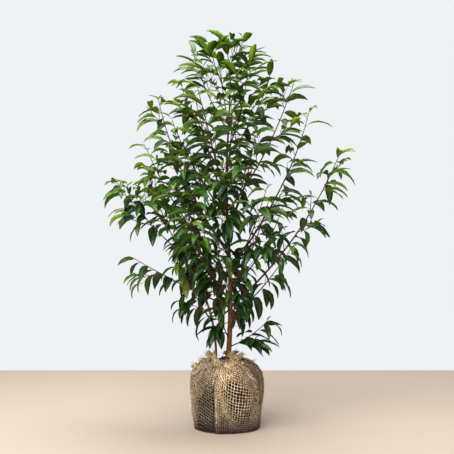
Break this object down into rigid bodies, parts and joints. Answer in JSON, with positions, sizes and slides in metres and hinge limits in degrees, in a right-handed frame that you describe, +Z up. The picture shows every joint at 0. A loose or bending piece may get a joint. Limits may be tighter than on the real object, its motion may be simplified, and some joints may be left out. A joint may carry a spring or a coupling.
{
  "type": "sapling with root ball",
  "caption": "Young evergreen laurel with a slender trunk, rising leafy boughs and arching narrow leaves, standing on a round root ball wrapped in open jute cloth.",
  "frame": {"origin": "centre of the root ball's flat underside", "axes": "+Z up along the trunk, -Y towards the plant's best side, +X to the right as that side is looked at"},
  "size_m": [1.0681, 0.7977, 1.6637],
  "materials": {
    "soil": "moist dark loam bound by fine roots",
    "jute": "open-weave natural jute cloth, tan, gathered and knotted",
    "bark": "smooth brown bark with pale breathing pores",
    "young_bark": "smooth red-brown young bark",
    "foliage": "glossy evergreen leaves on thin red-brown twigs"
  },
  "bodies": {
    "root": {"soil_ball": "soil", "jute_wrap": "jute", "wrap_knot_front": "jute", "wrap_knot_left": "jute", "wrap_tuft_left": "jute", "wrap_knot_back": "jute", "trunk": "bark", "second_stem": "bark", "bough_long_right": "young_bark", "bough_mid_right": "young_bark", "bough_upper_right": "young_bark", "bough_low_right": "young_bark", "bough_low_left": "young_bark", "bough_long_left": "young_bark", "bough_upright_left": "young_bark", "bough_tall_left": "young_bark", "bough_back_low_left": "young_bark", "bough_back_low_right": "young_bark", "bough_back_mid_left": "young_bark", "bough_back_mid_right": "young_bark", "foliage_back_foot": "foliage", "foliage_back_low_left": "foliage", "foliage_back_low_right": "foliage", "foliage_back_mid_left": "foliage", "foliage_back_mid_right": "foliage", "foliage_back_top": "foliage", "foliage_back_upper_left": "foliage", "foliage_back_upper_right": "foliage", "foliage_crown_left": "foliage", "foliage_crown_right": "foliage", "foliage_foot_right": "foliage", "foliage_front_centre": "foliage", "foliage_front_foot": "foliage", "foliage_front_inner_foot": "foliage", "foliage_front_low_left": "foliage", "foliage_front_low_right": "foliage", "foliage_front_mid_left": "foliage", "foliage_front_mid_right": "foliage", "foliage_front_right": "foliage", "foliage_front_top": "foliage", "foliage_front_upper": "foliage", "foliage_inner_back": "foliage", "foliage_inner_left": "foliage", "foliage_leader": "foliage", "foliage_long_left": "foliage", "foliage_long_right": "foliage", "foliage_low_left": "foliage", "foliage_low_right": "foliage", "foliage_mid_left": "foliage", "foliage_mid_right": "foliage", "foliage_second_back": "foliage", "foliage_second_foot": "foliage", "foliage_second_inner": "foliage", "foliage_second_low": "foliage", "foliage_tall_left": "foliage", "foliage_top_left": "foliage", "foliage_top_right": "foliage", "foliage_upper_left": "foliage", "foliage_upper_right": "foliage", "foliage_upright_left": "foliage"}
  },
  "joints": []
}
